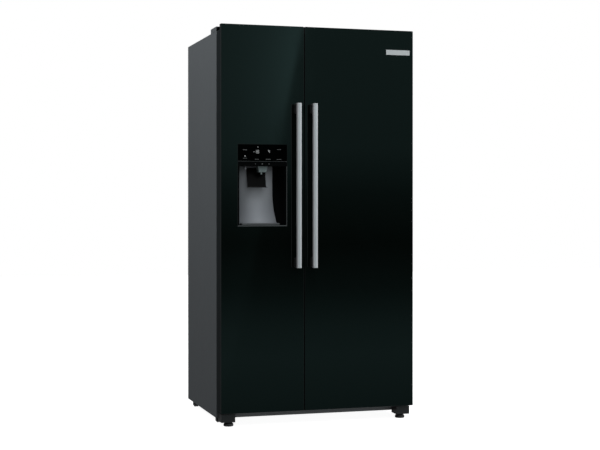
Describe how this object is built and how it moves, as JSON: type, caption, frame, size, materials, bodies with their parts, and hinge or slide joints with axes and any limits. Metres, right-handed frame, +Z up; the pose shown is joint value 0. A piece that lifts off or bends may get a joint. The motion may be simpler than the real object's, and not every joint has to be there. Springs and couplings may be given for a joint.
{
  "type": "side by side refrigerator",
  "caption": "Two-door side by side refrigerator with black glass fronts, upright bar handles, an ice and water dispenser, and fitted compartments with bins, shelves and drawers.",
  "frame": {"origin": "on the floor, below the middle of the whole outline, handles included", "axes": "+Z up; the doors face -Y; +X to the right as seen from the front"},
  "size_m": [0.908, 0.757, 1.787],
  "materials": {
    "cabinet_paint": "satin",
    "back_sheet": "satin",
    "frame_steel": "satin",
    "foam": "matte",
    "white_liner": "satin",
    "fin_aluminium": "satin",
    "black_steel": "satin",
    "dark_plastic": "matte",
    "black_rubber": "matte",
    "valve_plastic": "matte",
    "bright_steel": "satin",
    "shelf_glass": "gloss",
    "clear_plastic": "gloss",
    "grey_plastic": "satin",
    "door_steel": "satin",
    "black_glass": "gloss",
    "handle_aluminium": "satin",
    "dispenser_black": "gloss",
    "dispenser_grey": "satin"
  },
  "bodies": {
    "cabinet": {"outer_shell": "cabinet_paint", "rear_panel": "back_sheet", "base_plate": "frame_steel", "insulation": "foam", "centre_rail": "frame_steel", "freezer_liner": "white_liner", "fridge_liner": "white_liner", "duct_covers": "white_liner", "evaporator": "fin_aluminium", "compressor": "black_steel", "condenser": "black_steel", "drip_pan": "dark_plastic", "compressor_cover": "dark_plastic", "cord_gland": "black_rubber", "water_valve": "valve_plastic", "hinge_brackets": "black_steel", "hinge_covers": "cabinet_paint", "hinge_screws": "bright_steel", "roller_brackets": "black_steel", "freezer_shelves": "shelf_glass", "fridge_shelves": "shelf_glass", "ice_maker": "grey_plastic", "ice_bin": "clear_plastic"},
    "freezer_door": {"freezer_door_shell": "door_steel", "freezer_door_glass": "black_glass", "freezer_door_core": "foam", "freezer_door_liner": "white_liner", "freezer_door_gasket": "grey_plastic", "freezer_door_bushes": "grey_plastic", "freezer_door_bins": "clear_plastic", "freezer_handle": "handle_aluminium", "freezer_handle_posts": "dark_plastic", "dispenser_housing": "dispenser_black", "dispenser_panel": "black_glass", "dispenser_nozzle": "dispenser_grey", "drip_grille": "dispenser_grey"},
    "fridge_door": {"fridge_door_shell": "door_steel", "fridge_door_glass": "black_glass", "fridge_door_core": "foam", "fridge_door_liner": "white_liner", "fridge_door_gasket": "grey_plastic", "fridge_door_bushes": "grey_plastic", "fridge_door_bins": "clear_plastic", "fridge_handle": "handle_aluminium", "fridge_handle_posts": "dark_plastic", "badge": "bright_steel"},
    "paddle": {"dispenser_paddle": "dispenser_black"},
    "flap": {"ice_flap": "grey_plastic"},
    "auger": {"ice_auger": "bright_steel"},
    "cold_fan": {"evaporator_fan": "dark_plastic"},
    "cooling_fan": {"condenser_fan": "dark_plastic"},
    "foot_left": {"foot_left": "dark_plastic"},
    "foot_right": {"foot_right": "dark_plastic"},
    "roller_front_left": {"roller_front_left": "dark_plastic"},
    "roller_front_right": {"roller_front_right": "dark_plastic"},
    "roller_rear_left": {"roller_rear_left": "dark_plastic"},
    "roller_rear_right": {"roller_rear_right": "dark_plastic"},
    "freezer_drawer": {"freezer_drawer": "clear_plastic"},
    "crisper_lower": {"crisper_lower": "clear_plastic"},
    "crisper_upper": {"crisper_upper": "clear_plastic"}
  },
  "joints": [
    {"name": "freezer_door_hinge", "type": "hinge", "parent": "cabinet", "child": "freezer_door", "pos_m": [-0.433, -0.2835, 0.9], "axis": [0, 0, -1], "range_deg": [0, 120]},
    {"name": "fridge_door_hinge", "type": "hinge", "parent": "cabinet", "child": "fridge_door", "pos_m": [0.433, -0.2835, 0.9], "axis": [0, 0, 1], "range_deg": [0, 120]},
    {"name": "paddle_pivot", "type": "hinge", "parent": "freezer_door", "child": "paddle", "pos_m": [-0.279, -0.2625, 1.15], "axis": [1, 0, 0], "range_deg": [0, 10], "stiffness_Nm_per_rad": 0.6},
    {"name": "flap_pivot", "type": "hinge", "parent": "freezer_door", "child": "flap", "pos_m": [-0.259, -0.1975, 1.28246], "axis": [1, 0, 0], "range_deg": [0, 30]},
    {"name": "auger_turn", "type": "hinge", "parent": "cabinet", "child": "auger", "pos_m": [-0.259, 0.0565, 1.296], "axis": [0, 1, 0], "continuous": true},
    {"name": "cold_fan_turn", "type": "hinge", "parent": "cabinet", "child": "cold_fan", "pos_m": [-0.1859, 0.2665, 0.71], "axis": [0, 1, 0], "continuous": true},
    {"name": "cooling_fan_turn", "type": "hinge", "parent": "cabinet", "child": "cooling_fan", "pos_m": [-0.033, 0.281, 0.16], "axis": [1, 0, 0], "continuous": true},
    {"name": "foot_left_turn", "type": "hinge", "parent": "cabinet", "child": "foot_left", "pos_m": [-0.408, -0.2785, 0.02], "axis": [0, 0, 1], "continuous": true},
    {"name": "foot_right_turn", "type": "hinge", "parent": "cabinet", "child": "foot_right", "pos_m": [0.408, -0.2785, 0.02], "axis": [0, 0, 1], "continuous": true},
    {"name": "roller_front_left_turn", "type": "hinge", "parent": "cabinet", "child": "roller_front_left", "pos_m": [-0.428, -0.1775, 0.0145], "axis": [1, 0, 0], "continuous": true},
    {"name": "roller_rear_left_turn", "type": "hinge", "parent": "cabinet", "child": "roller_rear_left", "pos_m": [-0.428, 0.3115, 0.0135], "axis": [1, 0, 0], "continuous": true},
    {"name": "roller_front_right_turn", "type": "hinge", "parent": "cabinet", "child": "roller_front_right", "pos_m": [0.428, -0.1775, 0.0145], "axis": [1, 0, 0], "continuous": true},
    {"name": "roller_rear_right_turn", "type": "hinge", "parent": "cabinet", "child": "roller_rear_right", "pos_m": [0.428, 0.3115, 0.0135], "axis": [1, 0, 0], "continuous": true},
    {"name": "freezer_drawer_slide", "type": "slide", "parent": "cabinet", "child": "freezer_drawer", "axis": [0, -1, 0], "range_m": [0, 0.16]},
    {"name": "crisper_lower_slide", "type": "slide", "parent": "cabinet", "child": "crisper_lower", "axis": [0, -1, 0], "range_m": [0, 0.16]},
    {"name": "crisper_upper_slide", "type": "slide", "parent": "cabinet", "child": "crisper_upper", "axis": [0, -1, 0], "range_m": [0, 0.175]}
  ],
  "couplings": [
    {"joint": "flap_pivot", "follows": "paddle_pivot", "ratio": 3},
    {"joint": "freezer_drawer_slide", "follows": "freezer_door_hinge", "m_per_rad": 0.0763},
    {"joint": "crisper_lower_slide", "follows": "fridge_door_hinge", "m_per_rad": 0.0763},
    {"joint": "crisper_upper_slide", "follows": "fridge_door_hinge", "m_per_rad": 0.0835}
  ]
}
